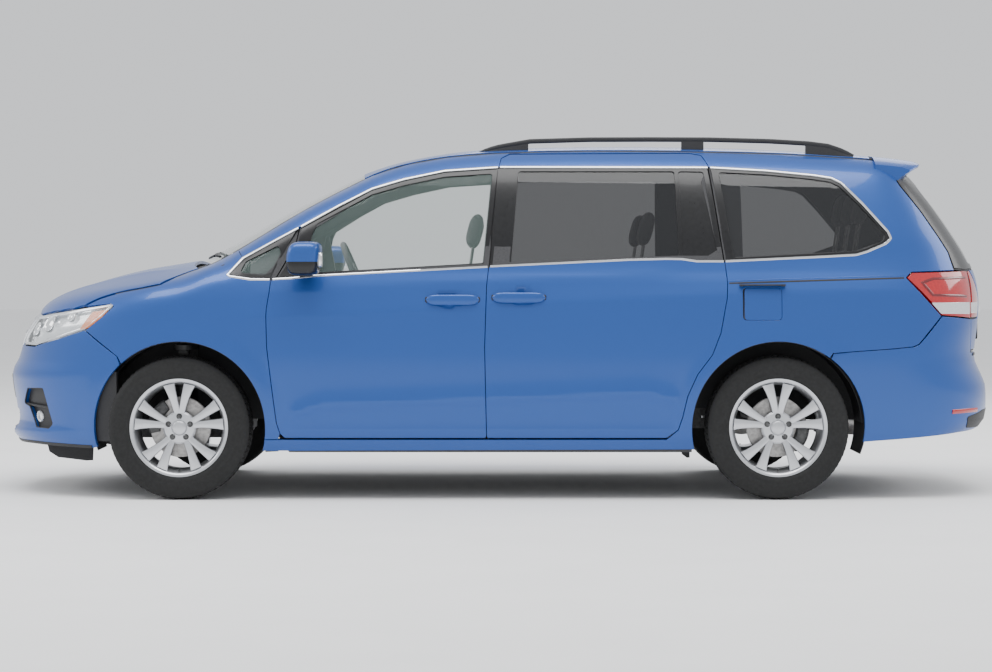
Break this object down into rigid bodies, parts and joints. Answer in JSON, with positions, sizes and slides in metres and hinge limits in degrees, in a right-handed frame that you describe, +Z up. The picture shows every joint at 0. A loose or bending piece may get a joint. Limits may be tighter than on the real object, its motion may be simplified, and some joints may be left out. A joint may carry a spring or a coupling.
{
  "type": "minivan",
  "caption": "Family minivan with hinged front doors, bonnet, tailgate and fuel flap, sliding rear doors, three seat rows, roof rails and turning, steered wheels.",
  "frame": {"origin": "on the ground, half way along the body, on the centre line", "axes": "+X forward, +Y to the left, +Z up"},
  "size_m": [5.1367, 2.3202, 1.836],
  "materials": {
    "body_paint": "metallic blue lacquer",
    "underbody": "black sealer",
    "black_plastic": "grained",
    "trim_plastic": "grained grey",
    "bright_trim": "polished",
    "lamp_clear": "clear lens over reflectors",
    "lamp_red": "red lens",
    "clear_glass": "light green tint",
    "dark_glass": "privacy tint",
    "seat_cloth": "woven",
    "cast_metal": "cast",
    "steel_parts": "painted black",
    "wheel_silver": "silver lacquer",
    "tyre_rubber": "matt",
    "exhaust_steel": "bare"
  },
  "bodies": {
    "body": {"floor_pan": "underbody", "body_side_left": "body_paint", "body_side_right": "body_paint", "roof_panel": "body_paint", "front_fenders": "body_paint", "front_bumper": "body_paint", "radiator_grille": "bright_trim", "headlamps": "lamp_clear", "windscreen": "clear_glass", "cowl_panel": "black_plastic", "sliding_door_left": "body_paint", "sliding_door_right": "body_paint", "side_glass": "dark_glass", "rear_bumper": "body_paint", "tail_lamps": "lamp_red", "roof_rails": "black_plastic", "dashboard": "trim_plastic", "front_seats": "seat_cloth", "second_row_seats": "seat_cloth", "third_row_seat": "seat_cloth", "engine_block": "cast_metal", "front_subframe": "steel_parts", "rear_axle": "steel_parts", "wheel_arch_liners": "black_plastic", "fuel_tank": "black_plastic", "exhaust": "exhaust_steel"},
    "door_left": {"front_door_left": "body_paint", "door_glass_left": "clear_glass", "door_mirror_left": "body_paint"},
    "door_right": {"front_door_right": "body_paint", "door_glass_right": "clear_glass", "door_mirror_right": "body_paint"},
    "hood": {"bonnet": "body_paint"},
    "liftgate": {"tailgate": "body_paint", "tailgate_glass": "dark_glass"},
    "flap": {"fuel_flap": "body_paint"},
    "steering": {"steering_wheel": "trim_plastic"},
    "upright_left": {"knuckle_left": "steel_parts"},
    "upright_right": {"knuckle_right": "steel_parts"},
    "wheel_fl": {"tyre_front_left": "tyre_rubber", "wheel_front_left": "wheel_silver"},
    "wheel_fr": {"tyre_front_right": "tyre_rubber", "wheel_front_right": "wheel_silver"},
    "wheel_rl": {"tyre_rear_left": "tyre_rubber", "wheel_rear_left": "wheel_silver"},
    "wheel_rr": {"tyre_rear_right": "tyre_rubber", "wheel_rear_right": "wheel_silver"}
  },
  "joints": [
    {"name": "hood_hinge", "type": "hinge", "parent": "body", "child": "hood", "pos_m": [1.5, 0, 1.15], "axis": [0, -1, 0], "range_deg": [0, 50]},
    {"name": "tailgate_hinge", "type": "hinge", "parent": "body", "child": "liftgate", "pos_m": [-1.97, 0, 1.735], "axis": [0, 1, 0], "range_deg": [0, 80]},
    {"name": "front_door_left_hinge", "type": "hinge", "parent": "body", "child": "door_left", "pos_m": [1.092, 0.997, 0.75], "axis": [0, 0, -1], "range_deg": [0, 65]},
    {"name": "front_door_right_hinge", "type": "hinge", "parent": "body", "child": "door_right", "pos_m": [1.092, -0.997, 0.75], "axis": [0, 0, 1], "range_deg": [0, 65]},
    {"name": "fuel_flap_hinge", "type": "hinge", "parent": "body", "child": "flap", "pos_m": [-1.234, 0.994, 0.98], "axis": [0, 0, -1], "range_deg": [0, 85]},
    {"name": "steer_left", "type": "hinge", "parent": "body", "child": "upright_left", "pos_m": [1.59, 0.765, 0.36], "axis": [0, 0, 1], "range_deg": [-32, 32]},
    {"name": "steer_right", "type": "hinge", "parent": "body", "child": "upright_right", "pos_m": [1.59, -0.765, 0.36], "axis": [0, 0, 1], "range_deg": [-32, 32]},
    {"name": "steering_wheel_turn", "type": "hinge", "parent": "body", "child": "steering", "pos_m": [0.735, 0.37, 1.12], "axis": [-0.9272, 0, 0.3746], "range_deg": [-480, 480]},
    {"name": "wheel_fl_spin", "type": "hinge", "parent": "upright_left", "child": "wheel_fl", "pos_m": [1.59, 0.865, 0.36], "axis": [0, 1, 0], "continuous": true},
    {"name": "wheel_fr_spin", "type": "hinge", "parent": "upright_right", "child": "wheel_fr", "pos_m": [1.59, -0.865, 0.36], "axis": [0, 1, 0], "continuous": true},
    {"name": "wheel_rl_spin", "type": "hinge", "parent": "body", "child": "wheel_rl", "pos_m": [-1.41, 0.865, 0.36], "axis": [0, 1, 0], "continuous": true},
    {"name": "wheel_rr_spin", "type": "hinge", "parent": "body", "child": "wheel_rr", "pos_m": [-1.41, -0.865, 0.36], "axis": [0, 1, 0], "continuous": true}
  ],
  "couplings": [
    {"joint": "steer_right", "follows": "steer_left", "ratio": 1},
    {"joint": "steering_wheel_turn", "follows": "steer_left", "ratio": 15}
  ]
}
